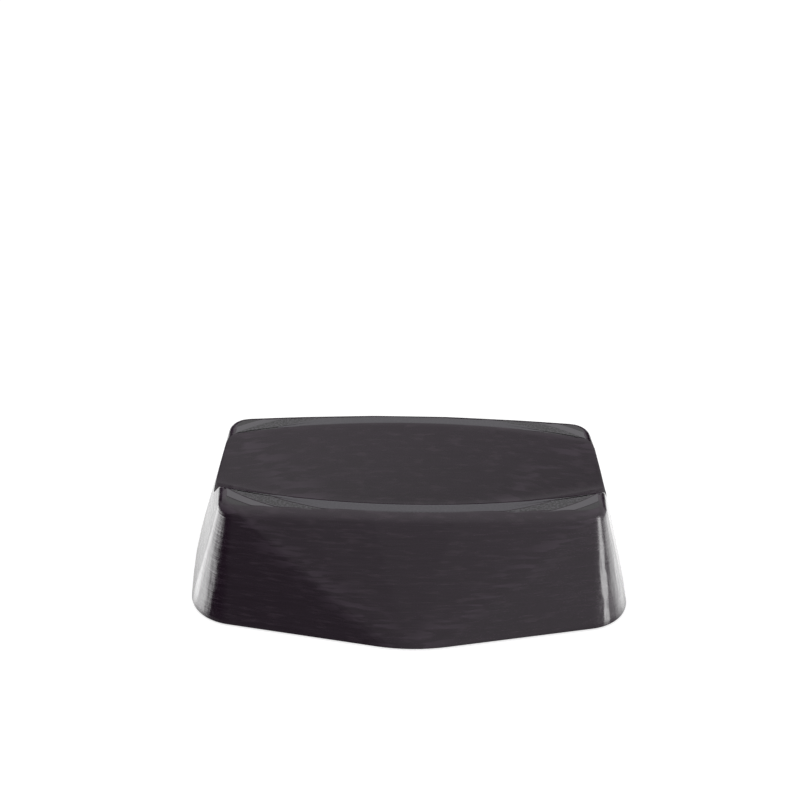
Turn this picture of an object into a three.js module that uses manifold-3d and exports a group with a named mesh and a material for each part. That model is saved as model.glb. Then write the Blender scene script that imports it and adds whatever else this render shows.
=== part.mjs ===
// Front riser block for an indoor trainer, with a groove along its top.
// One moulded shell, open underneath and ribbed, stands on six pressed-in rubber feet.
// Millimetres. X runs along the groove, Y across it, +Z is up.
// The origin is on the floor, under the middle of the block.
import * as THREE from 'three';
import { ConvexGeometry } from 'three/addons/geometries/ConvexGeometry.js';
import { mergeVertices } from 'three/addons/utils/BufferGeometryUtils.js';
import Module from 'manifold-3d';

const wasm = await Module();
wasm.setup();

// Block
const blockHeight = 58;
const wallThickness = 3;
const roofThickness = 3;
const topEdgeRadius = 4;
const crownDrop = 1.7; // how far the top falls from the middle to the corners of its outline

// Plan outlines, each an eight-sided figure whose corners are rounded.
// The long sides and the ends bulge past the four corners, up to a corner halfway along each.
const groundOutline = {
  cornerLength: 105.2,
  cornerWidth: 52.7,
  cornerRadius: 24,
  midBulge: 21.5,
  midRadius: 85,
  endBulge: 2.8,
  endRadius: 350,
};
const topOutline = {
  cornerLength: 91.5,
  cornerWidth: 40.6,
  cornerRadius: 10,
  midBulge: 7.6,
  midRadius: 750,
  endBulge: 2.3,
  endRadius: 150,
};

// Groove, turned about an axle high above the block
const axleHeight = 366.6;
const grooveFloorRadius = 338.5;
const grooveFloorHalfWidth = 5;
const grooveFloorFillet = 4;
const grooveWallAngle = Math.PI / 4; // the wall's lean from the upright
const grooveWallReach = 60; // how far the cutter's wall runs up, past the top of the block

// Ribs under the roof
const ribThickness = 2.2;
const ribPitch = 48;
const keelOffset = 26; // each lengthwise rib's distance from the middle
const ribSetback = 1; // the ribs stop this far above the rim

// Feet
const footRadius = 8;
const footThickness = 2.5;
const footProud = 0.8;
const footChamfer = 0.5;
const footEdgeDistance = 12.5; // from a foot's middle to the outside of the rim
const bossRadius = 10.5;
const stemRadius = 2.4;
const stemLength = 8;
const barbRadius = 2.9;
const barbLength = 2.4;
const stemTaperLength = 1.6;
const holeSpare = 1; // the blind hole is this much deeper than the stem
const fitClearance = 0.3;

// Cutters run past the faces that they cut by this much
const overrun = 5;

// Smoothness
const arcStepAngle = Math.PI / 24;
const cornerStepAngle = Math.PI / 12;
const edgeSteps = 3;
const crownRingShares = [0.85, 0.7, 0.5, 0.25];
const grooveSegments = 180;
const footSegments = 32;

// Colours
const shellColour = 0x1d1a1e;
const rubberColour = 0x141414;

// Rounding a polygon

// The centre of the arc that rounds a corner, and how far along each side the arc starts.
function cornerArc(before, corner, after, radius) {
  const toBefore = before.clone().sub(corner).normalize();
  const toAfter = after.clone().sub(corner).normalize();
  const halfAngle = Math.acos(toBefore.dot(toAfter)) / 2;
  const bisector = toBefore.clone().add(toAfter).normalize();
  const centre = corner.clone().addScaledVector(bisector, radius / Math.sin(halfAngle));
  return { centre, start: toBefore.multiplyScalar(radius / Math.tan(halfAngle)).add(corner),
    end: toAfter.multiplyScalar(radius / Math.tan(halfAngle)).add(corner) };
}

function roundedPolygon(corners, stepAngle) {
  const points = [];
  corners.forEach(({ point, radius }, index) => {
    const before = corners[(index + corners.length - 1) % corners.length].point;
    const after = corners[(index + 1) % corners.length].point;
    const arc = cornerArc(before, point, after, radius);
    const startAngle = arc.start.clone().sub(arc.centre).angle();
    const endAngle = arc.end.clone().sub(arc.centre).angle();
    const sweep = (endAngle - startAngle + 2 * Math.PI) % (2 * Math.PI);
    const steps = Math.max(2, Math.round(sweep / stepAngle));
    for (let step = 0; step <= steps; step += 1) {
      const angle = startAngle + (sweep * step) / steps;
      const spoke = new THREE.Vector2(Math.cos(angle), Math.sin(angle)).multiplyScalar(radius);
      points.push(spoke.add(arc.centre));
    }
  });
  return points;
}

function halfWidth(outline) {
  return outline.cornerWidth + outline.midBulge;
}

function halfLength(outline) {
  return outline.cornerLength + outline.endBulge;
}

// The eight corners, counter-clockwise from the near long side's middle.
function outlineCorners(outline) {
  const { cornerLength, cornerWidth, cornerRadius, midRadius, endRadius } = outline;
  const corner = (x, y, radius) => ({ point: new THREE.Vector2(x, y), radius });
  return [
    corner(0, -halfWidth(outline), midRadius),
    corner(cornerLength, -cornerWidth, cornerRadius),
    corner(halfLength(outline), 0, endRadius),
    corner(cornerLength, cornerWidth, cornerRadius),
    corner(0, halfWidth(outline), midRadius),
    corner(-cornerLength, cornerWidth, cornerRadius),
    corner(-halfLength(outline), 0, endRadius),
    corner(-cornerLength, -cornerWidth, cornerRadius),
  ];
}

// Moves an outline in by the same distance along both axes. Its bulges stay.
function insetOutline(outline, inset) {
  return {
    ...outline,
    cornerLength: outline.cornerLength - inset,
    cornerWidth: outline.cornerWidth - inset,
    cornerRadius: Math.max(outline.cornerRadius - inset, inset / 2),
    midRadius: outline.midRadius - inset,
    endRadius: outline.endRadius - inset,
  };
}

// Solids

function solidFrom(geometry) {
  geometry.deleteAttribute('normal');
  geometry.deleteAttribute('uv');
  const merged = mergeVertices(geometry);
  const vertProperties = new Float32Array(merged.attributes.position.array);
  const triVerts = new Uint32Array(merged.index.array);
  return new wasm.Manifold(new wasm.Mesh({ numProp: 3, vertProperties, triVerts }));
}

function geometryFrom(solid) {
  const { vertProperties, triVerts } = solid.getMesh();
  const geometry = new THREE.BufferGeometry();
  geometry.setAttribute('position', new THREE.BufferAttribute(vertProperties, 3));
  geometry.setIndex(new THREE.BufferAttribute(triVerts, 1));
  geometry.computeVertexNormals();
  return geometry;
}

function boxSolid(low, high) {
  const size = high.clone().sub(low);
  const geometry = new THREE.BoxGeometry(size.x, size.y, size.z);
  geometry.translate((low.x + high.x) / 2, (low.y + high.y) / 2, (low.z + high.z) / 2);
  return solidFrom(geometry);
}

// How far out a point of the plan lies on the top, 0 in the middle, growing in ellipses.
function crownReach(x, y) {
  return (x / halfLength(topOutline)) ** 2 + (y / halfWidth(topOutline)) ** 2;
}

// Height of the crowned top over a point of the plan.
function crownHeight(point, topHeight) {
  const cornerReach = crownReach(topOutline.cornerLength, topOutline.cornerWidth);
  return topHeight - (crownDrop * crownReach(point.x, point.y)) / cornerReach;
}

// The hull of the ground outline and the rounded rim of the top outline.
// Its long sides come out as three flat facets each, and its corners as cones.
function taperedBody(ground, top, groundHeight, topHeight, edgeRadius) {
  const points = [];
  const addPoint = (point, height) => points.push(new THREE.Vector3(point.x, point.y, height));
  roundedPolygon(outlineCorners(ground), arcStepAngle).forEach((point) => addPoint(point, groundHeight));
  const rim = roundedPolygon(outlineCorners(top), cornerStepAngle);
  for (let step = 0; step <= edgeSteps; step += 1) {
    const angle = (Math.PI / 2) * (step / edgeSteps);
    const inset = edgeRadius * (1 - Math.cos(angle));
    const drop = edgeRadius * (1 - Math.sin(angle));
    rim.forEach((point) => {
      const moved = point.clone().setLength(point.length() - inset);
      addPoint(moved, crownHeight(moved, topHeight) - drop);
    });
  }
  crownRingShares.forEach((share) => {
    rim.forEach((point) => {
      const moved = point.clone().multiplyScalar(share);
      addPoint(moved, crownHeight(moved, topHeight));
    });
  });
  addPoint(new THREE.Vector2(0, 0), topHeight);
  return solidFrom(new ConvexGeometry(points));
}

// The groove's section turned about the axle. A positive offset gives the trough's underside.
function grooveSolid(offset) {
  const turn = Math.PI / 2 - grooveWallAngle;
  const floorRadius = grooveFloorRadius + offset;
  const filletStart = grooveFloorHalfWidth + (offset - grooveFloorFillet) * Math.tan(turn / 2);
  const half = [];
  for (let step = 0; step <= edgeSteps; step += 1) {
    const angle = turn * (step / edgeSteps);
    half.push(new THREE.Vector2(
      floorRadius - grooveFloorFillet * (1 - Math.cos(angle)),
      filletStart + grooveFloorFillet * Math.sin(angle),
    ));
  }
  const wall = new THREE.Vector2(-Math.cos(grooveWallAngle), Math.sin(grooveWallAngle));
  const wallTop = half[edgeSteps].clone().addScaledVector(wall, grooveWallReach);
  half.push(wallTop);
  half.push(new THREE.Vector2(0, wallTop.y));
  const mirrored = half.map((point) => new THREE.Vector2(point.x, -point.y)).reverse();
  const geometry = new THREE.LatheGeometry([...mirrored, ...half], grooveSegments);
  geometry.translate(0, 0, axleHeight);
  return solidFrom(geometry);
}

// Feet places

// The middle of each foot, worked out from the ground outline that it stands inside.
function footPlaces() {
  const corners = outlineCorners(groundOutline);
  const places = [];
  const nearNames = ['near_middle', 'near_right'];
  const farNames = ['far_right', 'far_middle', 'far_left'];
  const names = [...nearNames, null, ...farNames, null, 'near_left'];
  corners.forEach(({ point, radius }, index) => {
    if (names[index] === null) {
      return;
    }
    const before = corners[(index + corners.length - 1) % corners.length].point;
    const after = corners[(index + 1) % corners.length].point;
    const { centre } = cornerArc(before, point, after, radius);
    const outward = point.clone().sub(centre).normalize();
    places.push({ name: names[index], place: centre.addScaledVector(outward, radius - footEdgeDistance) });
  });
  return places;
}

// Riser shell

function ribSolids(innerLength, innerWidth) {
  const ribs = [];
  const low = footProud + ribSetback;
  const addRib = (lowX, lowY, highX, highY) => ribs.push(boxSolid(
    new THREE.Vector3(lowX, lowY, low),
    new THREE.Vector3(highX, highY, blockHeight + overrun),
  ));
  // The last cross rib stays at least half a pitch away from the end wall.
  const ribsPerHalf = Math.floor((innerLength - ribPitch / 2) / ribPitch);
  for (let index = -ribsPerHalf; index <= ribsPerHalf; index += 1) {
    const middle = index * ribPitch;
    addRib(middle - ribThickness / 2, -innerWidth, middle + ribThickness / 2, innerWidth);
  }
  [-keelOffset, keelOffset].forEach((middle) => {
    addRib(-innerLength, middle - ribThickness / 2, innerLength, middle + ribThickness / 2);
  });
  return ribs;
}

function bossSolid(place) {
  const height = blockHeight + overrun - footProud;
  const geometry = new THREE.CylinderGeometry(bossRadius, bossRadius, height, footSegments);
  geometry.rotateX(Math.PI / 2);
  geometry.translate(place.x, place.y, footProud + height / 2);
  return solidFrom(geometry);
}

// The seat that a foot presses into: a shallow round recess and a blind stem hole.
function footSeatSolid(place) {
  const seatTop = footThickness + fitClearance;
  const holeTop = footThickness + stemLength + holeSpare;
  const profile = [
    new THREE.Vector2(0, footProud - overrun),
    new THREE.Vector2(footRadius + fitClearance, footProud - overrun),
    new THREE.Vector2(footRadius + fitClearance, seatTop),
    new THREE.Vector2(stemRadius + fitClearance, seatTop),
    new THREE.Vector2(stemRadius + fitClearance, holeTop - barbLength - stemTaperLength - holeSpare),
    new THREE.Vector2(barbRadius + fitClearance, holeTop - barbLength - stemTaperLength / 2 - holeSpare),
    new THREE.Vector2(barbRadius + fitClearance, holeTop),
    new THREE.Vector2(0, holeTop),
  ];
  const geometry = new THREE.LatheGeometry(profile, footSegments);
  geometry.rotateX(Math.PI / 2);
  geometry.translate(place.x, place.y, 0);
  return solidFrom(geometry);
}

function makeRiserShell() {
  let cavity = taperedBody(
    insetOutline(groundOutline, wallThickness),
    insetOutline(topOutline, wallThickness),
    footProud - overrun,
    blockHeight - roofThickness,
    topEdgeRadius,
  );
  cavity = cavity.subtract(grooveSolid(wallThickness));
  const innerLength = halfLength(groundOutline) - wallThickness;
  ribSolids(innerLength, halfWidth(groundOutline)).forEach((rib) => {
    cavity = cavity.subtract(rib);
  });
  footPlaces().forEach(({ place }) => {
    cavity = cavity.subtract(bossSolid(place));
  });
  let shell = taperedBody(groundOutline, topOutline, footProud, blockHeight, topEdgeRadius);
  shell = shell.subtract(grooveSolid(0)).subtract(cavity);
  footPlaces().forEach(({ place }) => {
    shell = shell.subtract(footSeatSolid(place));
  });
  const material = new THREE.MeshStandardMaterial({ color: shellColour, roughness: 0.42, metalness: 0 });
  const mesh = new THREE.Mesh(geometryFrom(shell), material);
  mesh.name = 'riser_shell';
  return mesh;
}

// Rubber foot: a flat pad with a stem whose barb holds in the blind hole.
function makeFoot(name, place) {
  const stemTop = footThickness + stemLength;
  const profile = [
    new THREE.Vector2(0, 0),
    new THREE.Vector2(footRadius - footChamfer, 0),
    new THREE.Vector2(footRadius, footChamfer),
    new THREE.Vector2(footRadius, footThickness),
    new THREE.Vector2(stemRadius, footThickness),
    new THREE.Vector2(stemRadius, stemTop - barbLength - stemTaperLength / 2),
    new THREE.Vector2(barbRadius, stemTop - barbLength),
    new THREE.Vector2(stemRadius, stemTop),
    new THREE.Vector2(0, stemTop),
  ];
  const geometry = new THREE.LatheGeometry(profile, footSegments);
  geometry.rotateX(Math.PI / 2);
  const material = new THREE.MeshStandardMaterial({ color: rubberColour, roughness: 0.9, metalness: 0 });
  const mesh = new THREE.Mesh(geometryFrom(solidFrom(geometry)), material);
  mesh.name = `rubber_foot_${name}`;
  mesh.position.set(place.x, place.y, 0);
  return mesh;
}

const riserBlock = new THREE.Group();
riserBlock.add(makeRiserShell());
footPlaces().forEach(({ name, place }) => {
  riserBlock.add(makeFoot(name, place));
});

export default riserBlock;
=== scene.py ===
"""Front riser block for an indoor trainer.

A tapered black plastic shell with a groove along its top, on six round rubber feet.
Metres. X runs along the groove, Y across it towards the far side, Z up.
"""

import math

import bmesh
import bpy
from mathutils import Matrix, Vector


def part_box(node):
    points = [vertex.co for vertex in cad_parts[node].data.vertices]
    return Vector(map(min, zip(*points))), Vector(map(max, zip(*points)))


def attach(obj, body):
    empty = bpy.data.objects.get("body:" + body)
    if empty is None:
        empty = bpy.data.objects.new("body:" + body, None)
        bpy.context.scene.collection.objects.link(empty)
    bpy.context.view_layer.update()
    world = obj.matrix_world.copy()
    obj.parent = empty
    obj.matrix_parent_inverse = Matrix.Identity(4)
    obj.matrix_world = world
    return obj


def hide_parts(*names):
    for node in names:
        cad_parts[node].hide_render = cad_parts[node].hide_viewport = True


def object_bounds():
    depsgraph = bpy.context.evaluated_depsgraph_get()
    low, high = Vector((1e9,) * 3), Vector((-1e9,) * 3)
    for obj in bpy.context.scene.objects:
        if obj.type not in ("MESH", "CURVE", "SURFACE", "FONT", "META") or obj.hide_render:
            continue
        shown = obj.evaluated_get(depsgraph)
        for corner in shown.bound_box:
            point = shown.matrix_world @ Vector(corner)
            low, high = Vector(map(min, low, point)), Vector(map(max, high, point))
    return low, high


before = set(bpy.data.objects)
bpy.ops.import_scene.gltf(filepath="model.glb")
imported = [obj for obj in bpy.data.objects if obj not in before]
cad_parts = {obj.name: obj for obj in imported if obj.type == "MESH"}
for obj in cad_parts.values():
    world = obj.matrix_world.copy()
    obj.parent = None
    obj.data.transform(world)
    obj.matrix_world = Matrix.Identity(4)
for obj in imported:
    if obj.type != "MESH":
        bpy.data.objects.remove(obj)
cad_low, cad_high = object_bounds()

MM = 0.001

# Plan outlines. The long sides and ends bulge past the four corners, to a corner halfway along each.
GROUND_OUTLINE = {
    "corner": Vector((105.2, 52.7)) * MM,
    "corner_radius": 24 * MM,
    "side_bulge": 21.5 * MM,
    "side_radius": 85 * MM,
    "end_bulge": 2.8 * MM,
    "end_radius": 350 * MM,
}
TOP_OUTLINE = {
    "corner": Vector((90.5, 39.6)) * MM,
    "corner_radius": 9 * MM,
    "side_bulge": 6.8 * MM,
    "side_radius": 750 * MM,
    "end_bulge": 2.3 * MM,
    "end_radius": 150 * MM,
}
RIM_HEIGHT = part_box("riser_shell")[0].z
BLOCK_HEIGHT = 58 * MM
WALL = 3 * MM
BODY_INSET = 0.05 * MM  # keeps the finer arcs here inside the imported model's box
ARC_STEP = math.radians(3)
ARC_LEAST_STEPS = 2
FLAT_ANGLE = math.radians(0.1)  # faces that meet at less than this become one

# The kinds of surface, told apart while the top is flat by how far they face up, as the Z of a normal
UNDER_FACING = -0.9
WALL_FACING = 0.55
LAND_FACING = 0.9999

# Edges, each width measured from the sharp edge along the faces, and kept in the table by the two
# kinds of surface that meet there, in the order of the alphabet
TOP_EDGE_WIDTH = 3.5 * MM
LIP_WIDTH = 1.5 * MM
MOUTH_WIDTH = 0.8 * MM
RIM_EDGE_WIDTH = 0.5 * MM
EDGE_WIDTHS = {
    ("land", "wall"): TOP_EDGE_WIDTH,
    ("groove", "land"): LIP_WIDTH,
    ("groove", "wall"): MOUTH_WIDTH,
    ("under", "wall"): RIM_EDGE_WIDTH,
}
EDGE_SEGMENTS = 5
ROUND_PROFILE = 0.5
SHELL_SHARP_ANGLE = math.radians(32)

# Crown of the top, laid in flat terraces one layer apart, each drop measured from the middle's height
CROWN_DROP = 1.7 * MM
TERRACE_EDGE_DROPS = (0.94 * MM, 1.17 * MM, 1.32 * MM)
TERRACE_DROP = 0.76 * MM
LAYER_HEIGHT = 0.19 * MM
RISER_HALF = 0.0042 * MM  # half the height of the crown that each step between terraces takes up
CROWNED_LAND_FACING = 0.99
LAND_BORDER = 0.4 * MM  # narrow faces along the land's edges, so that it looks flat up to them

# Groove, turned about an axle high above the block
AXLE_HEIGHT = 366.6 * MM
GROOVE_RADIUS = 338.5 * MM
GROOVE_FLOOR = 5 * MM
GROOVE_FILLET = 4 * MM
GROOVE_WALL_ANGLE = math.radians(45)
GROOVE_REACH = 60 * MM
GROOVE_SWEEP = math.radians(46)
GROOVE_STEP = math.radians(1.15)

# Ribs and bosses under the roof
RIB_THICKNESS = 2.2 * MM
RIB_PLACES = (-48 * MM, 0.0, 48 * MM)
KEEL_OFFSET = 26 * MM
RIB_SETBACK = 1 * MM
BOSS_RADIUS = 10.5 * MM
BOSS_STEPS = 48

# Feet
FOOT_RADIUS = 8 * MM
FOOT_THICKNESS = 2.5 * MM
FOOT_CLEARANCE = 0.3 * MM
FOOT_EDGE = 0.5 * MM
FOOT_EDGE_STEPS = 4
FOOT_GROOVES = (3.0 * MM, 5.6 * MM)
FOOT_GROOVE_WIDTH = 0.9 * MM
FOOT_GROOVE_FLOOR_WIDTH = 0.45 * MM
FOOT_GROOVE_DEPTH = 0.45 * MM
STEM_RADIUS = 2.4 * MM
STEM_TOP = 10.5 * MM
BARB_RADIUS = 2.9 * MM
BARB_LENGTH = 2.4 * MM
BARB_RISE = 0.8 * MM
STEM_HOLE_RADIUS = BARB_RADIUS + FOOT_CLEARANCE
STEM_HOLE_TOP = 11.5 * MM
FOOT_STEPS = 64
FOOT_SHARP_ANGLE = math.radians(40)

# Fineness of the mesh, and how far a cutter runs past what it cuts
GRID = 3 * MM
OVERRUN = 5 * MM
SHORTEST_EDGE = 0.003 * MM
TINY = 1e-7  # points closer than this are one point

# Marks on the shell: length along a layer, size across the layers, and detail. The ridges are drawn
# coarser than the real layers, which are too fine to show.
STREAK = (30 * MM, 1.3 * MM, 3.0)
SMUDGE = (9 * MM, 1.4 * MM, 2.0)
CREASE_SHEEN = (13 * MM, 1.9 * MM, 1.0)
RIDGE = (25 * MM, 0.3 * MM, 1.0)
WAVE = (6 * MM, 60 * MM, 2.0)
GRAIN = (1.1 * MM, 1.1 * MM, 2.0)
# Where each mark comes up, by the level of its noise
SMUDGE_RANGE = {"From Min": 0.5, "From Max": 0.75}
CREASE_SHEEN_RANGE = {"From Min": 0.46, "From Max": 0.6}
GRAIN_RANGE = {"From Min": 0.35, "From Max": 0.7}
# Painted sheen gathers near the slanting edges between the facets, a paler tone standing in for the
# lighter facet's shading across the crease, by the distance from them.
# Upright waves show near the ends, by the distance from the middle of the block.
CREASE_SHEEN_REACH = {"From Min": 20 * MM, "From Max": 0.0}
WAVE_START = {"From Min": 84 * MM, "From Max": 92 * MM}
# Where the marks of the walls and the painted reflection tones of the terraces show, by how far the
# surface faces up
STEEP_FACING = {"From Min": 0.95, "From Max": 0.6}
TERRACE_FACING = {"From Min": 0.98, "From Max": 0.995}
WAVE_DEPTH = 0.4 * MM
STREAK_DEPTH = 0.06 * MM
RIDGE_DEPTH = 0.03 * MM

# Finish of the shell
ABS_DARK = "#1d121c"
ABS_LIGHT = "#291d29"
SMUDGE_COLOUR = "#30252f"
# painted sheen: the paler tone of the patches near the facets' slanting creases
CREASE_SHEEN_COLOUR = "#352a35"
GRAIN_COLOUR = "#4d4a50"
# Painted reflection tone of each flat terrace, lighter or darker as each real terrace catches the
# room, and its share of pale speckles, from the lowest to the highest
PAINTED_TERRACE_TONES = (("#1c191d", 0.1), ("#4c494e", 0.1), ("#171418", 0.7), ("#38353c", 0.3))
ABS_ROUGHNESS = {"From Min": 0.3, "From Max": 0.7, "To Min": 0.15, "To Max": 0.24}
ABS_IOR = 1.54

# Finish of the feet
RUBBER_DARK = "#161617"
RUBBER_LIGHT = "#242425"
RUBBER_GRAIN = 0.8 * MM
RUBBER_GRAIN_DETAIL = 2.0
RUBBER_GRAIN_DEPTH = 0.08 * MM
RUBBER_GRAIN_STRENGTH = 0.4
RUBBER_ROUGHNESS = 0.85
RUBBER_IOR = 1.52

# Camera
CAMERA_PLACE = Vector((-23.9, -583.70, 453.08)) * MM
CAMERA_YAW = math.radians(1.68)
CAMERA_PITCH = math.radians(31.68)
CAMERA_ROLL = math.radians(1.8)
CAMERA_LENS = 65.0
CAMERA_NEAR = 10 * MM
CAMERA_FAR = 50000 * MM

WHITE = "#ffffff"

# Floor. It shows in the gloss over a rectangle of NEAR_HALF each way, and fades out beyond it.
# NEAR_INSIDE is 1 inside that rectangle and 0 outside, by the distance from it.
FLOOR_HALF = 1500 * MM
FLOOR_COLOUR = "#b4b4b4"
FLOOR_GLOW = 0.72
NEAR_HALF = Vector((95, 50, 0)) * MM
NEAR_FADE = {"From Min": 0.0, "From Max": 22 * MM}
NEAR_INSIDE = {"From Min": TINY, "From Max": 0.0}

# Lamp overhead, and the level of the world for matt surfaces
LAMP_PLACE = Vector((0, -300, 1500)) * MM
LAMP_LENGTH = 1400 * MM
LAMP_WIDTH = 1200 * MM
LAMP_POWER = 8
ROOM_LEVEL = 0.65

# Room in the gloss: the side that it is lit from, how its light falls off away from that side, and
# the darker stretch behind the block, by reach towards the rear and by height over or under the
# horizon. Reach and height are parts of a direction whose length is 1.
LIGHT_SIDE = Vector((0.85, 0.40, 0.42))
ROOM_FADE = {"From Min": -0.95, "From Max": 0.3, "To Max": 0.92}
REAR_SHADE = {"From Min": 0.4, "From Max": 0.8}
LEVEL_SHADE = {"From Min": 0.45, "From Max": 0.2, "To Max": -1.0}
# Panels of light in the gloss: degrees turned from the front to the right, half width and softness
# in degrees, the height of the upper edge, and the strength
GLOSS_PANELS = (
    (-105, 27, 17, -0.24, 4.8),
    (-85, 16, 3, -0.21, 2.1),
    (110, 22, 10, -0.22, 2.6),
    (63.5, 7, 3, 0.35, 7.8),
    (180, 45, 15, -0.2, 0.8),
)
PANEL_TOP_SOFT = 0.05


def new_object(name, bm):
    """A mesh object made from a bmesh, which is freed."""
    mesh = bpy.data.meshes.new(name)
    bm.to_mesh(mesh)
    bm.free()
    piece = bpy.data.objects.new(name, mesh)
    bpy.context.scene.collection.objects.link(piece)
    return piece


def reshape(piece, change):
    """Runs a change on the piece's mesh, as a bmesh."""
    bm = bmesh.new()
    bm.from_mesh(piece.data)
    change(bm)
    bm.to_mesh(piece.data)
    bm.free()


def apply_modifiers(piece):
    """Makes what the modifiers show the piece's own mesh."""
    depsgraph = bpy.context.evaluated_depsgraph_get()
    depsgraph.update()
    made = bpy.data.meshes.new_from_object(piece.evaluated_get(depsgraph))
    piece.modifiers.clear()
    old = piece.data
    piece.data = made
    bpy.data.meshes.remove(old)


def cut(piece, cutter):
    """Takes the cutter out of the piece, then deletes the cutter."""
    modifier = piece.modifiers.new("cut", "BOOLEAN")
    modifier.operation = "DIFFERENCE"
    modifier.solver = "EXACT"
    modifier.object = cutter
    apply_modifiers(piece)
    bpy.data.objects.remove(cutter)


def shade_smooth(piece, sharp_angle):
    """Smooth shading, with edges kept sharp where faces meet at more than the angle."""
    piece.data.polygons.foreach_set("use_smooth", [True] * len(piece.data.polygons))
    piece.data.set_sharp_from_angle(angle=sharp_angle)


# Body


def outline_corners(outline, inset):
    """The outline's eight corners in turn, counter-clockwise, each with its radius."""
    corner = outline["corner"] - Vector((inset, inset))
    side = corner.y + outline["side_bulge"]
    end = corner.x + outline["end_bulge"]
    corner_radius = outline["corner_radius"] - inset
    half = [
        (Vector((0, -side, 0)), outline["side_radius"] - inset),
        (Vector((corner.x, -corner.y, 0)), corner_radius),
        (Vector((end, 0, 0)), outline["end_radius"] - inset),
        (Vector((corner.x, corner.y, 0)), corner_radius),
    ]
    return half + [(-point, radius) for point, radius in half]


def add_outline(bm, outline, height, inset):
    """Adds the outline's rounded corners as arcs of points at a height."""
    corners = outline_corners(outline, inset)
    for index, (point, radius) in enumerate(corners):
        before = (corners[index - 1][0] - point).normalized()
        after = (corners[(index + 1) % len(corners)][0] - point).normalized()
        half = before.angle(after) / 2
        lift = Vector((0, 0, height))
        centre = point + (before + after).normalized() * (radius / math.sin(half)) + lift
        start = point + before * (radius / math.tan(half)) + lift
        turn = math.pi - 2 * half
        first = bmesh.ops.create_vert(bm, co=start)["vert"]
        bmesh.ops.spin(
            bm, geom=first, cent=centre, axis=(0, 0, 1), angle=turn,
            steps=max(ARC_LEAST_STEPS, round(turn / ARC_STEP)),
        )


def tapered_body(low, high, inset):
    """The hull of the ground outline at one height and the top outline at another."""
    bm = bmesh.new()
    add_outline(bm, GROUND_OUTLINE, low, inset)
    add_outline(bm, TOP_OUTLINE, high, inset)
    bmesh.ops.delete(bm, geom=bm.edges[:], context="EDGES_FACES")
    bmesh.ops.convex_hull(bm, input=bm.verts[:])
    bmesh.ops.dissolve_limit(bm, angle_limit=FLAT_ANGLE, verts=bm.verts[:], edges=bm.edges[:])
    return bm


def groove_cutter(name, offset):
    """The groove's section turned about the axle. An offset gives the trough's underside."""
    radius = GROOVE_RADIUS + offset
    turn = math.pi / 2 - GROOVE_WALL_ANGLE
    fillet_start = GROOVE_FLOOR + (offset - GROOVE_FILLET) * math.tan(turn / 2)
    bm = bmesh.new()
    half = []
    for step in range(EDGE_SEGMENTS + 1):
        angle = turn * step / EDGE_SEGMENTS
        half.append(Vector((
            0,
            fillet_start + GROOVE_FILLET * math.sin(angle),
            -radius + GROOVE_FILLET * (1 - math.cos(angle)),
        )))
    lean = Vector((0, math.sin(GROOVE_WALL_ANGLE), math.cos(GROOVE_WALL_ANGLE)))
    half.append(half[-1] + lean * GROOVE_REACH)
    mirrored = [Vector((0, -point.y, point.z)) for point in reversed(half)]
    axle = Vector((0, 0, AXLE_HEIGHT))
    face = bm.faces.new([bm.verts.new(point + axle) for point in mirrored + half])
    bmesh.ops.rotate(
        bm, verts=face.verts, cent=axle, matrix=Matrix.Rotation(-GROOVE_SWEEP / 2, 3, "Y"),
    )
    bmesh.ops.spin(
        bm, geom=[face, *face.edges, *face.verts], cent=axle, axis=(0, 1, 0),
        angle=GROOVE_SWEEP, steps=round(GROOVE_SWEEP / GROOVE_STEP), use_merge=False,
    )
    bmesh.ops.recalc_face_normals(bm, faces=bm.faces[:])
    return new_object(name, bm)


def surface_kind(face):
    """Names what a face belongs to while the top is flat: land, under, wall or groove."""
    if face.normal.z < UNDER_FACING:
        return "under"
    if face.normal.z < WALL_FACING:
        return "wall"
    if face.normal.z > LAND_FACING and face.calc_center_median().z > BLOCK_HEIGHT - TINY:
        return "land"
    return "groove"


def weigh_edges(bm):
    """Gives each edge that is rounded its share of the widest rounding."""
    weights = bm.edges.layers.float.new("bevel_weight_edge")
    for edge in bm.edges:
        kinds = sorted(surface_kind(face) for face in edge.link_faces)
        width = EDGE_WIDTHS.get(tuple(kinds), 0.0)
        edge[weights] = width / TOP_EDGE_WIDTH


def crown_drop(point):
    """How far the crowned top lies below its middle's height, over a point of the plan."""
    corner = TOP_OUTLINE["corner"]
    half_length = corner.x + TOP_OUTLINE["end_bulge"]
    half_width = corner.y + TOP_OUTLINE["side_bulge"]
    corner_reach = (corner.x / half_length) ** 2 + (corner.y / half_width) ** 2
    reach = (point.x / half_length) ** 2 + (point.y / half_width) ** 2
    return CROWN_DROP * reach / corner_reach


def slice_at(bm, place, normal):
    """Cuts the mesh by a plane, and keeps both sides."""
    geometry = bm.verts[:] + bm.edges[:] + bm.faces[:]
    bmesh.ops.bisect_plane(bm, geom=geometry, dist=TINY, plane_co=place, plane_no=normal)


def slice_along(bm, normal, low, high):
    """Cuts the mesh across an axis, no more than a grid's spacing apart."""
    count = math.ceil((high - low) / GRID)
    for index in range(1, count):
        slice_at(bm, normal * (low + (high - low) * index / count), normal)


def slice_body(bm):
    """Cuts the body fine enough to bend, with a narrow border round the land."""
    bm.normal_update()
    land = [face for face in bm.faces if surface_kind(face) == "land"]
    bmesh.ops.inset_region(bm, faces=land, thickness=LAND_BORDER, use_even_offset=True)
    land_half = TOP_OUTLINE["corner"].y - TOP_EDGE_WIDTH
    slice_along(bm, Vector((1, 0, 0)), cad_low.x, cad_high.x)
    slice_along(bm, Vector((0, 1, 0)), -land_half, land_half)
    slice_along(bm, Vector((0, 0, 1)), RIM_HEIGHT, BLOCK_HEIGHT)


def bend_crown(bm):
    """Bends the flat top into its crown. The bend fades out towards the rim."""
    for vert in bm.verts:
        share = (vert.co.z - RIM_HEIGHT) / (BLOCK_HEIGHT - RIM_HEIGHT)
        vert.co.z -= crown_drop(vert.co) * share


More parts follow.
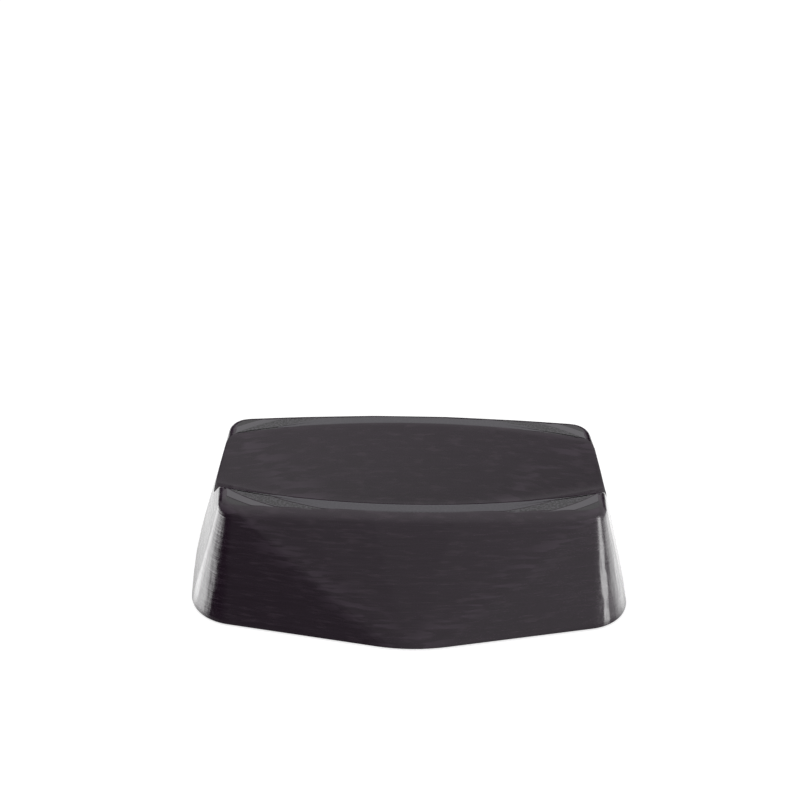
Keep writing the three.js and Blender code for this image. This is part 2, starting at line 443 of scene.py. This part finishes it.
def lay_terraces(bm):
    """Lays the crowned land in flat terraces, with a steep step between each two."""
    for drop in TERRACE_EDGE_DROPS:
        for height in (drop - RISER_HALF, drop + RISER_HALF):
            slice_at(bm, Vector((0, 0, BLOCK_HEIGHT - height)), Vector((0, 0, 1)))
    bm.normal_update()
    lowest = BLOCK_HEIGHT - CROWN_DROP
    land = [
        face for face in bm.faces
        if face.normal.z > CROWNED_LAND_FACING and face.calc_center_median().z > lowest
    ]
    for vert in {vert for face in land for vert in face.verts}:
        drop = BLOCK_HEIGHT - vert.co.z
        terrace = sum(drop > edge for edge in TERRACE_EDGE_DROPS)
        vert.co.z = BLOCK_HEIGHT - TERRACE_DROP - LAYER_HEIGHT * terrace


def form_top(bm):
    """Turns the flat top into a crown laid in terraces."""
    slice_body(bm)
    bend_crown(bm)
    lay_terraces(bm)


def make_body():
    """The outer form: tapered, grooved, rounded and crowned, and still solid."""
    body = new_object("moulded_shell", tapered_body(RIM_HEIGHT, BLOCK_HEIGHT, BODY_INSET))
    cut(body, groove_cutter("groove", 0))
    reshape(body, weigh_edges)
    rounding = body.modifiers.new("rounding", "BEVEL")
    rounding.limit_method = "WEIGHT"
    rounding.width = TOP_EDGE_WIDTH
    rounding.segments = EDGE_SEGMENTS
    rounding.profile = ROUND_PROFILE
    rounding.use_clamp_overlap = False
    apply_modifiers(body)
    reshape(body, form_top)
    return body


# Cavity


def block_cutter(name, low, high):
    """A box between two corners."""
    bm = bmesh.new()
    bmesh.ops.create_cube(bm, size=1)
    bmesh.ops.scale(bm, verts=bm.verts, vec=high - low)
    bmesh.ops.translate(bm, verts=bm.verts, vec=(low + high) / 2)
    return new_object(name, bm)


def turned_solid(name, profile, place, steps):
    """A profile of (radius, height) points turned about the upright axis through a place."""
    bm = bmesh.new()
    points = [bm.verts.new((radius, 0, height)) for radius, height in profile]
    edges = [bm.edges.new(pair) for pair in zip(points, points[1:])]
    bmesh.ops.spin(
        bm, geom=points + edges, cent=(0, 0, 0), axis=(0, 0, 1),
        angle=2 * math.pi, steps=steps, use_merge=True,
    )
    bmesh.ops.remove_doubles(bm, verts=bm.verts[:], dist=TINY)
    bmesh.ops.recalc_face_normals(bm, faces=bm.faces[:])
    bmesh.ops.translate(bm, verts=bm.verts, vec=place)
    return new_object(name, bm)


def foot_places():
    """The middle of each foot on the floor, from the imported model."""
    places = {}
    for node in sorted(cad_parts):
        if node.startswith("rubber_foot"):
            low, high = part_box(node)
            places[node] = Vector(((low.x + high.x) / 2, (low.y + high.y) / 2, 0))
    return places


def make_cavity():
    """The hollow under the top, with the trough, the ribs and the bosses left standing."""
    roof = BLOCK_HEIGHT - CROWN_DROP - WALL
    cavity = new_object("cavity", tapered_body(RIM_HEIGHT - OVERRUN, roof, WALL))
    cut(cavity, groove_cutter("trough", WALL))
    rib_low = RIM_HEIGHT + RIB_SETBACK
    over = BLOCK_HEIGHT + OVERRUN
    half = RIB_THICKNESS / 2
    for place in RIB_PLACES:
        low = Vector((place - half, cad_low.y, rib_low))
        cut(cavity, block_cutter("rib", low, Vector((place + half, cad_high.y, over))))
    for place in (-KEEL_OFFSET, KEEL_OFFSET):
        low = Vector((cad_low.x, place - half, rib_low))
        cut(cavity, block_cutter("keel", low, Vector((cad_high.x, place + half, over))))
    under = RIM_HEIGHT - 2 * OVERRUN
    boss = [(0, under), (BOSS_RADIUS, under), (BOSS_RADIUS, over), (0, over)]
    for place in foot_places().values():
        cut(cavity, turned_solid("boss", boss, place, BOSS_STEPS))
    return cavity


def seat_profile():
    """Half the section of a foot's seat: a recess for the pad, and a blind hole for the stem."""
    low = RIM_HEIGHT - OVERRUN
    recess_radius = FOOT_RADIUS + FOOT_CLEARANCE
    recess_top = FOOT_THICKNESS + FOOT_CLEARANCE
    return [
        (0, low), (recess_radius, low), (recess_radius, recess_top), (STEM_HOLE_RADIUS, recess_top),
        (STEM_HOLE_RADIUS, STEM_HOLE_TOP), (0, STEM_HOLE_TOP),
    ]


def drop_slivers(bm):
    """Closes up the edges and faces that the cuts left with next to no size."""
    bmesh.ops.dissolve_degenerate(bm, dist=SHORTEST_EDGE, edges=bm.edges[:])


def make_shell():
    """The finished shell: the body, hollowed from below, with a seat for each foot."""
    shell = make_body()
    cut(shell, make_cavity())
    for place in foot_places().values():
        cut(shell, turned_solid("seat", seat_profile(), place, BOSS_STEPS))
    reshape(shell, drop_slivers)
    shade_smooth(shell, SHELL_SHARP_ANGLE)
    shell.data.materials.append(black_abs())
    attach(shell, "root")
    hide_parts("riser_shell")


# Feet


def foot_profile():
    """Half the section of a foot: a pad with two grip grooves underneath, and its barbed stem."""
    profile = [(0, 0)]
    half = FOOT_GROOVE_WIDTH / 2
    floor_half = FOOT_GROOVE_FLOOR_WIDTH / 2
    for radius in FOOT_GROOVES:
        profile += [
            (radius - half, 0), (radius - floor_half, FOOT_GROOVE_DEPTH),
            (radius + floor_half, FOOT_GROOVE_DEPTH), (radius + half, 0),
        ]
    for step in range(FOOT_EDGE_STEPS + 1):
        angle = math.pi / 2 * step / FOOT_EDGE_STEPS
        profile.append((
            FOOT_RADIUS - FOOT_EDGE * (1 - math.sin(angle)), FOOT_EDGE * (1 - math.cos(angle)),
        ))
    barb = STEM_TOP - BARB_LENGTH
    return profile + [
        (FOOT_RADIUS, FOOT_THICKNESS), (STEM_RADIUS, FOOT_THICKNESS),
        (STEM_RADIUS, barb - BARB_RISE), (BARB_RADIUS, barb), (STEM_RADIUS, STEM_TOP), (0, STEM_TOP),
    ]


def make_feet():
    """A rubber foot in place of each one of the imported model."""
    rubber = moulded_rubber()
    for node, place in foot_places().items():
        name = node.replace("rubber_foot", "grip_foot")
        foot = turned_solid(name, foot_profile(), place, FOOT_STEPS)
        shade_smooth(foot, FOOT_SHARP_ANGLE)
        foot.data.materials.append(rubber)
        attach(foot, "root")
        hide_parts(node)


# Materials


def linear(colour):
    """A sRGB hex colour as linear values."""
    channels = [int(colour[i:i + 2], 16) / 255 for i in (1, 3, 5)]
    return [c / 12.92 if c <= 0.04045 else ((c + 0.055) / 1.055) ** 2.4 for c in channels] + [1]


def add_node(tree, kind, inputs=None, **settings):
    """Adds a node. An input takes a value, or another node's output to link from."""
    node = tree.nodes.new(kind)
    for name, value in settings.items():
        setattr(node, name, value)
    for name, value in (inputs or {}).items():
        if isinstance(value, bpy.types.NodeSocket):
            tree.links.new(value, node.inputs[name])
        else:
            node.inputs[name].default_value = value
    return node


def new_material(name):
    material = bpy.data.materials.new(name)
    material.use_nodes = True
    material.node_tree.nodes.clear()
    return material, material.node_tree


def layer_noise(tree, place, length, height, detail):
    """Noise drawn out along the layers, by the sizes of its marks along and across them."""
    stretched = add_node(tree, "ShaderNodeMapping", {
        "Vector": place, "Scale": (1 / length, 1 / length, 1 / height),
    })
    return add_node(tree, "ShaderNodeTexNoise", {
        "Vector": stretched.outputs["Vector"], "Scale": 1.0, "Detail": detail,
    }).outputs["Fac"]


def edge_painted_crease_sheens(tree, place, endwards, height):
    """Painted sheen: level patches of a paler tone along the edges that slant from the ground's middle
    up to the top's corners, for the lighter facet's shading across the crease.
    """
    lean = -TOP_OUTLINE["corner"].x / BLOCK_HEIGHT
    aside = add_node(tree, "ShaderNodeMath", {
        0: height, 1: lean, 2: endwards,
    }, operation="MULTIPLY_ADD")
    aside = add_node(tree, "ShaderNodeMath", {0: aside.outputs[0]}, operation="ABSOLUTE")
    near = add_node(tree, "ShaderNodeMapRange", {
        "Value": aside.outputs[0], **CREASE_SHEEN_REACH,
    }, interpolation_type="SMOOTHSTEP")
    # painted sheen: patches where the lighter facet's shading is painted across the crease
    painted_crease_sheen = add_node(tree, "ShaderNodeMapRange", {
        "Value": layer_noise(tree, place, *CREASE_SHEEN), **CREASE_SHEEN_RANGE,
    }, interpolation_type="SMOOTHSTEP")
    return add_node(tree, "ShaderNodeMath", {
        0: painted_crease_sheen.outputs["Result"], 1: near.outputs["Result"],
    }, operation="MULTIPLY").outputs[0]


def wall_colour(tree, place, streak, endwards, height):
    """Two near blacks in level streaks, with paler smudges over them, and painted sheen in patches
    near the slanting creases between the facets.
    """
    streaked = add_node(tree, "ShaderNodeMix", {
        "Factor": streak, "A": linear(ABS_DARK), "B": linear(ABS_LIGHT),
    }, data_type="RGBA")
    smudge = add_node(tree, "ShaderNodeMapRange", {
        "Value": layer_noise(tree, place, *SMUDGE), **SMUDGE_RANGE,
    }, interpolation_type="SMOOTHSTEP")
    smudged = add_node(tree, "ShaderNodeMix", {
        "Factor": smudge.outputs["Result"], "A": streaked.outputs[2], "B": linear(SMUDGE_COLOUR),
    }, data_type="RGBA")
    return add_node(tree, "ShaderNodeMix", {
        "Factor": edge_painted_crease_sheens(tree, place, endwards, height),
        "A": smudged.outputs[2], "B": linear(CREASE_SHEEN_COLOUR),
    }, data_type="RGBA").outputs[2]


def terrace_painted_reflection(tree, place, height):
    """The painted reflection tone of each flat terrace of the top, chosen by its height, with its
    share of pale speckles.
    """
    lowest_terrace = BLOCK_HEIGHT - TERRACE_DROP - LAYER_HEIGHT * (len(PAINTED_TERRACE_TONES) - 1)
    low = lowest_terrace - LAYER_HEIGHT / 2
    share = add_node(tree, "ShaderNodeMapRange", {
        "Value": height, "From Min": low, "From Max": low + LAYER_HEIGHT * len(PAINTED_TERRACE_TONES),
    })
    ramp = add_node(tree, "ShaderNodeValToRGB", {"Fac": share.outputs["Result"]})
    ramp.color_ramp.interpolation = "CONSTANT"
    stops = ramp.color_ramp.elements
    # each terrace's stop holds its painted reflection tone, and its share of pale speckles in the
    # alpha
    for index, (tone, speckle_share) in enumerate(PAINTED_TERRACE_TONES):
        stop = stops[0] if index == 0 else stops.new(index / len(PAINTED_TERRACE_TONES))
        stop.color = linear(tone)[:3] + [speckle_share]
    stops.remove(stops[-1])
    grain = add_node(tree, "ShaderNodeMapRange", {
        "Value": layer_noise(tree, place, *GRAIN), **GRAIN_RANGE,
    }, interpolation_type="SMOOTHSTEP")
    # pale speckles, as much as each terrace's share
    speckled = add_node(tree, "ShaderNodeMath", {
        0: grain.outputs["Result"], 1: ramp.outputs["Alpha"],
    }, operation="MULTIPLY")
    return add_node(tree, "ShaderNodeMix", {
        "Factor": speckled.outputs[0], "A": ramp.outputs["Color"], "B": linear(GRAIN_COLOUR),
    }, data_type="RGBA").outputs[2]


def layer_relief(tree, place, streak, endwards, facing):
    """The normal of the walls: waves near the ends, then level streaks, then the fine ridges."""
    steepness = add_node(tree, "ShaderNodeMapRange", {
        "Value": facing, **STEEP_FACING,
    }, interpolation_type="SMOOTHSTEP").outputs["Result"]
    wave_share = add_node(tree, "ShaderNodeMapRange", {
        "Value": endwards, **WAVE_START,
    }, interpolation_type="SMOOTHSTEP").outputs["Result"]
    waved = add_node(tree, "ShaderNodeBump", {
        "Height": layer_noise(tree, place, *WAVE), "Strength": wave_share, "Distance": WAVE_DEPTH,
    })
    streaked = add_node(tree, "ShaderNodeBump", {
        "Height": streak, "Strength": steepness, "Distance": STREAK_DEPTH,
        "Normal": waved.outputs["Normal"],
    })
    return add_node(tree, "ShaderNodeBump", {
        "Height": layer_noise(tree, place, *RIDGE), "Strength": steepness, "Distance": RIDGE_DEPTH,
        "Normal": streaked.outputs["Normal"],
    }).outputs["Normal"]


def black_abs():
    """Black ABS with the marks of level layers: a low gloss that the ridges spread up and down. The
    terraces carry painted reflection tones, and the walls carry painted sheen near the creases.
    """
    material, tree = new_material("black_abs")
    coordinates = add_node(tree, "ShaderNodeTexCoord").outputs
    place = coordinates["Object"]
    where = add_node(tree, "ShaderNodeSeparateXYZ", {"Vector": place}).outputs
    facing = add_node(tree, "ShaderNodeSeparateXYZ", {"Vector": coordinates["Normal"]}).outputs["Z"]
    endwards = add_node(tree, "ShaderNodeMath", {0: where["X"]}, operation="ABSOLUTE").outputs[0]
    streak = layer_noise(tree, place, *STREAK)
    on_terrace = add_node(tree, "ShaderNodeMapRange", {
        "Value": facing, **TERRACE_FACING,
    }, interpolation_type="SMOOTHSTEP")
    colour = add_node(tree, "ShaderNodeMix", {
        "Factor": on_terrace.outputs["Result"],
        "A": wall_colour(tree, place, streak, endwards, where["Z"]),
        "B": terrace_painted_reflection(tree, place, where["Z"]),
    }, data_type="RGBA")
    roughness = add_node(tree, "ShaderNodeMapRange", {"Value": streak, **ABS_ROUGHNESS})
    shader = add_node(tree, "ShaderNodeBsdfPrincipled", {
        "Base Color": colour.outputs[2], "Roughness": roughness.outputs["Result"], "IOR": ABS_IOR,
        "Normal": layer_relief(tree, place, streak, endwards, facing),
    })
    add_node(tree, "ShaderNodeOutputMaterial", {"Surface": shader.outputs["BSDF"]})
    return material


def moulded_rubber():
    """Moulded black rubber: matt and slightly grey, with a fine grain."""
    material, tree = new_material("moulded_rubber")
    grain = add_node(tree, "ShaderNodeTexNoise", {
        "Vector": add_node(tree, "ShaderNodeTexCoord").outputs["Object"],
        "Scale": 1 / RUBBER_GRAIN, "Detail": RUBBER_GRAIN_DETAIL,
    }).outputs["Fac"]
    colour = add_node(tree, "ShaderNodeMix", {
        "Factor": grain, "A": linear(RUBBER_DARK), "B": linear(RUBBER_LIGHT),
    }, data_type="RGBA")
    bump = add_node(tree, "ShaderNodeBump", {
        "Height": grain, "Strength": RUBBER_GRAIN_STRENGTH, "Distance": RUBBER_GRAIN_DEPTH,
    })
    shader = add_node(tree, "ShaderNodeBsdfPrincipled", {
        "Base Color": colour.outputs[2], "Roughness": RUBBER_ROUGHNESS, "IOR": RUBBER_IOR,
        "Normal": bump.outputs["Normal"],
    })
    add_node(tree, "ShaderNodeOutputMaterial", {"Surface": shader.outputs["BSDF"]})
    return material


# Studio


def make_camera():
    """The camera of the photograph's view, turned by its yaw, pitch and roll."""
    forward = Vector((
        math.sin(CAMERA_YAW) * math.cos(CAMERA_PITCH),
        math.cos(CAMERA_YAW) * math.cos(CAMERA_PITCH),
        -math.sin(CAMERA_PITCH),
    ))
    level = Vector((math.cos(CAMERA_YAW), -math.sin(CAMERA_YAW), 0))
    rise = level.cross(forward)
    right = level * math.cos(CAMERA_ROLL) + rise * math.sin(CAMERA_ROLL)
    up = rise * math.cos(CAMERA_ROLL) - level * math.sin(CAMERA_ROLL)
    data = bpy.data.cameras.new("camera")
    data.lens = CAMERA_LENS
    data.clip_start = CAMERA_NEAR
    data.clip_end = CAMERA_FAR
    camera = bpy.data.objects.new("camera", data)
    bpy.context.scene.collection.objects.link(camera)
    turned = Matrix((right, up, -forward)).transposed().to_4x4()
    camera.matrix_world = Matrix.Translation(CAMERA_PLACE) @ turned
    bpy.context.scene.camera = camera


def white_floor():
    """White paint that keeps a soft shadow of the block.

    In the gloss it shows close to the block, and farther out it opens to the room. The camera
    sees through it from below, and light comes up through it under the block, so that the
    underside can be seen.
    """
    material, tree = new_material("white_floor")
    rays = add_node(tree, "ShaderNodeLightPath").outputs
    seen = add_node(tree, "ShaderNodeMath", {
        0: rays["Is Camera Ray"], 1: rays["Is Transmission Ray"],
    }, operation="MAXIMUM").outputs[0]
    lit = add_node(tree, "ShaderNodeBsdfDiffuse", {"Color": linear(FLOOR_COLOUR)})
    glow = add_node(tree, "ShaderNodeEmission", {"Color": linear(WHITE), "Strength": FLOOR_GLOW})
    both = add_node(tree, "ShaderNodeAddShader", {0: lit.outputs[0], 1: glow.outputs[0]})
    shown = add_node(tree, "ShaderNodeMixShader", {0: seen, 1: lit.outputs[0], 2: both.outputs[0]})

    aside = add_node(tree, "ShaderNodeTexCoord").outputs["Object"]
    steps = (("ABSOLUTE", (0, 0, 0)), ("SUBTRACT", NEAR_HALF), ("MAXIMUM", (0, 0, 0)))
    for operation, vector in steps:
        aside = add_node(tree, "ShaderNodeVectorMath", {
            0: aside, 1: vector,
        }, operation=operation).outputs[0]
    aside = add_node(tree, "ShaderNodeVectorMath", {0: aside}, operation="LENGTH").outputs["Value"]
    fade = add_node(tree, "ShaderNodeMapRange", {
        "Value": aside, **NEAR_FADE,
    }, interpolation_type="SMOOTHSTEP")
    open_air = add_node(tree, "ShaderNodeBsdfTransparent")
    glossy = add_node(tree, "ShaderNodeMixShader", {
        0: fade.outputs["Result"], 1: lit.outputs[0], 2: open_air.outputs[0],
    })
    shown = add_node(tree, "ShaderNodeMixShader", {
        0: rays["Is Glossy Ray"], 1: shown.outputs[0], 2: glossy.outputs[0],
    })

    underneath = add_node(tree, "ShaderNodeMapRange", {
        "Value": aside, **NEAR_INSIDE,
    }, interpolation_type="SMOOTHSTEP")
    clear = add_node(tree, "ShaderNodeMix", {
        "Factor": rays["Is Camera Ray"], "A": underneath.outputs["Result"],
        "B": add_node(tree, "ShaderNodeNewGeometry").outputs["Backfacing"],
    }, data_type="FLOAT")
    shown = add_node(tree, "ShaderNodeMixShader", {
        0: clear.outputs[0], 1: shown.outputs[0], 2: open_air.outputs[0],
    })
    add_node(tree, "ShaderNodeOutputMaterial", {"Surface": shown.outputs[0]})
    return material


def make_floor():
    """The floor that the block stands on."""
    bm = bmesh.new()
    bmesh.ops.create_grid(bm, x_segments=1, y_segments=1, size=FLOOR_HALF)
    floor = new_object("floor", bm)
    floor.data.materials.append(white_floor())


def room_light(tree, direction):
    """The level of the room in each direction, from its lit side to the darker stretch at the rear."""
    towards = add_node(tree, "ShaderNodeVectorMath", {
        0: direction, 1: LIGHT_SIDE.normalized(),
    }, operation="DOT_PRODUCT")
    room = add_node(tree, "ShaderNodeMapRange", {"Value": towards.outputs["Value"], **ROOM_FADE})
    axes = add_node(tree, "ShaderNodeSeparateXYZ", {"Vector": direction}).outputs
    rearwards = add_node(tree, "ShaderNodeMapRange", {
        "Value": axes["Y"], **REAR_SHADE,
    }, interpolation_type="SMOOTHSTEP")
    off_level = add_node(tree, "ShaderNodeMath", {0: axes["Z"]}, operation="ABSOLUTE")
    near_level = add_node(tree, "ShaderNodeMapRange", {
        "Value": off_level.outputs[0], **LEVEL_SHADE,
    }, interpolation_type="SMOOTHSTEP")
    shade = add_node(tree, "ShaderNodeMath", {
        0: rearwards.outputs["Result"], 1: near_level.outputs["Result"], 2: 1.0,
    }, operation="MULTIPLY_ADD")
    return add_node(tree, "ShaderNodeMath", {
        0: room.outputs["Result"], 1: shade.outputs[0],
    }, operation="MULTIPLY").outputs[0]


def gloss_room(tree):
    """The level that the gloss meets in each direction: the room, and panels of light low down."""
    direction = add_node(tree, "ShaderNodeTexCoord").outputs["Generated"]
    height = add_node(tree, "ShaderNodeSeparateXYZ", {"Vector": direction}).outputs["Z"]
    flattened = add_node(tree, "ShaderNodeVectorMath", {
        0: direction, 1: (1, 1, 0),
    }, operation="MULTIPLY")
    bearing = add_node(tree, "ShaderNodeVectorMath", {
        0: flattened.outputs[0],
    }, operation="NORMALIZE").outputs[0]
    light = room_light(tree, direction)
    for turn, half, soft, top, strength in GLOSS_PANELS:
        angle = math.radians(turn)
        across = add_node(tree, "ShaderNodeVectorMath", {
            0: bearing, 1: (math.sin(angle), -math.cos(angle), 0),
        }, operation="DOT_PRODUCT")
        panel = add_node(tree, "ShaderNodeMapRange", {
            "Value": across.outputs["Value"],
            "From Min": math.cos(math.radians(half + soft)),
            "From Max": math.cos(math.radians(half - soft)),
            "To Max": strength,
        }, interpolation_type="SMOOTHSTEP")
        below = add_node(tree, "ShaderNodeMapRange", {
            "Value": height, "From Min": top + PANEL_TOP_SOFT, "From Max": top - PANEL_TOP_SOFT,
        }, interpolation_type="SMOOTHSTEP")
        light = add_node(tree, "ShaderNodeMath", {
            0: panel.outputs["Result"], 1: below.outputs["Result"], 2: light,
        }, operation="MULTIPLY_ADD").outputs[0]
    return light


def make_world():
    """White for the camera, and a plain light for matt surfaces. The gloss meets the room."""
    world = bpy.data.worlds.new("studio")
    world.use_nodes = True
    tree = world.node_tree
    tree.nodes.clear()
    rays = add_node(tree, "ShaderNodeLightPath").outputs
    seen = add_node(tree, "ShaderNodeMath", {
        0: rays["Is Camera Ray"], 1: rays["Is Transmission Ray"],
    }, operation="MAXIMUM").outputs[0]
    met = add_node(tree, "ShaderNodeMix", {
        "Factor": rays["Is Glossy Ray"], "A": ROOM_LEVEL, "B": gloss_room(tree),
    }, data_type="FLOAT")
    level = add_node(tree, "ShaderNodeMix", {
        "Factor": seen, "A": met.outputs[0], "B": 1.0,
    }, data_type="FLOAT")
    glow = add_node(tree, "ShaderNodeBackground", {
        "Color": linear(WHITE), "Strength": level.outputs[0],
    })
    add_node(tree, "ShaderNodeOutputWorld", {"Surface": glow.outputs[0]})
    bpy.context.scene.world = world


def make_lamp():
    """A soft lamp overhead that faces the block. The gloss meets the room instead."""
    data = bpy.data.lights.new("overhead", "AREA")
    data.shape = "RECTANGLE"
    data.size = LAMP_LENGTH
    data.size_y = LAMP_WIDTH
    data.energy = LAMP_POWER
    lamp = bpy.data.objects.new("overhead", data)
    lamp.location = LAMP_PLACE
    lamp.rotation_euler = (-LAMP_PLACE).to_track_quat("-Z", "Y").to_euler()
    lamp.visible_camera = False
    lamp.visible_glossy = False
    bpy.context.scene.collection.objects.link(lamp)


make_camera()
make_floor()
make_world()
make_lamp()
make_shell()
make_feet()
bpy.context.scene.view_settings.view_transform = "Standard"
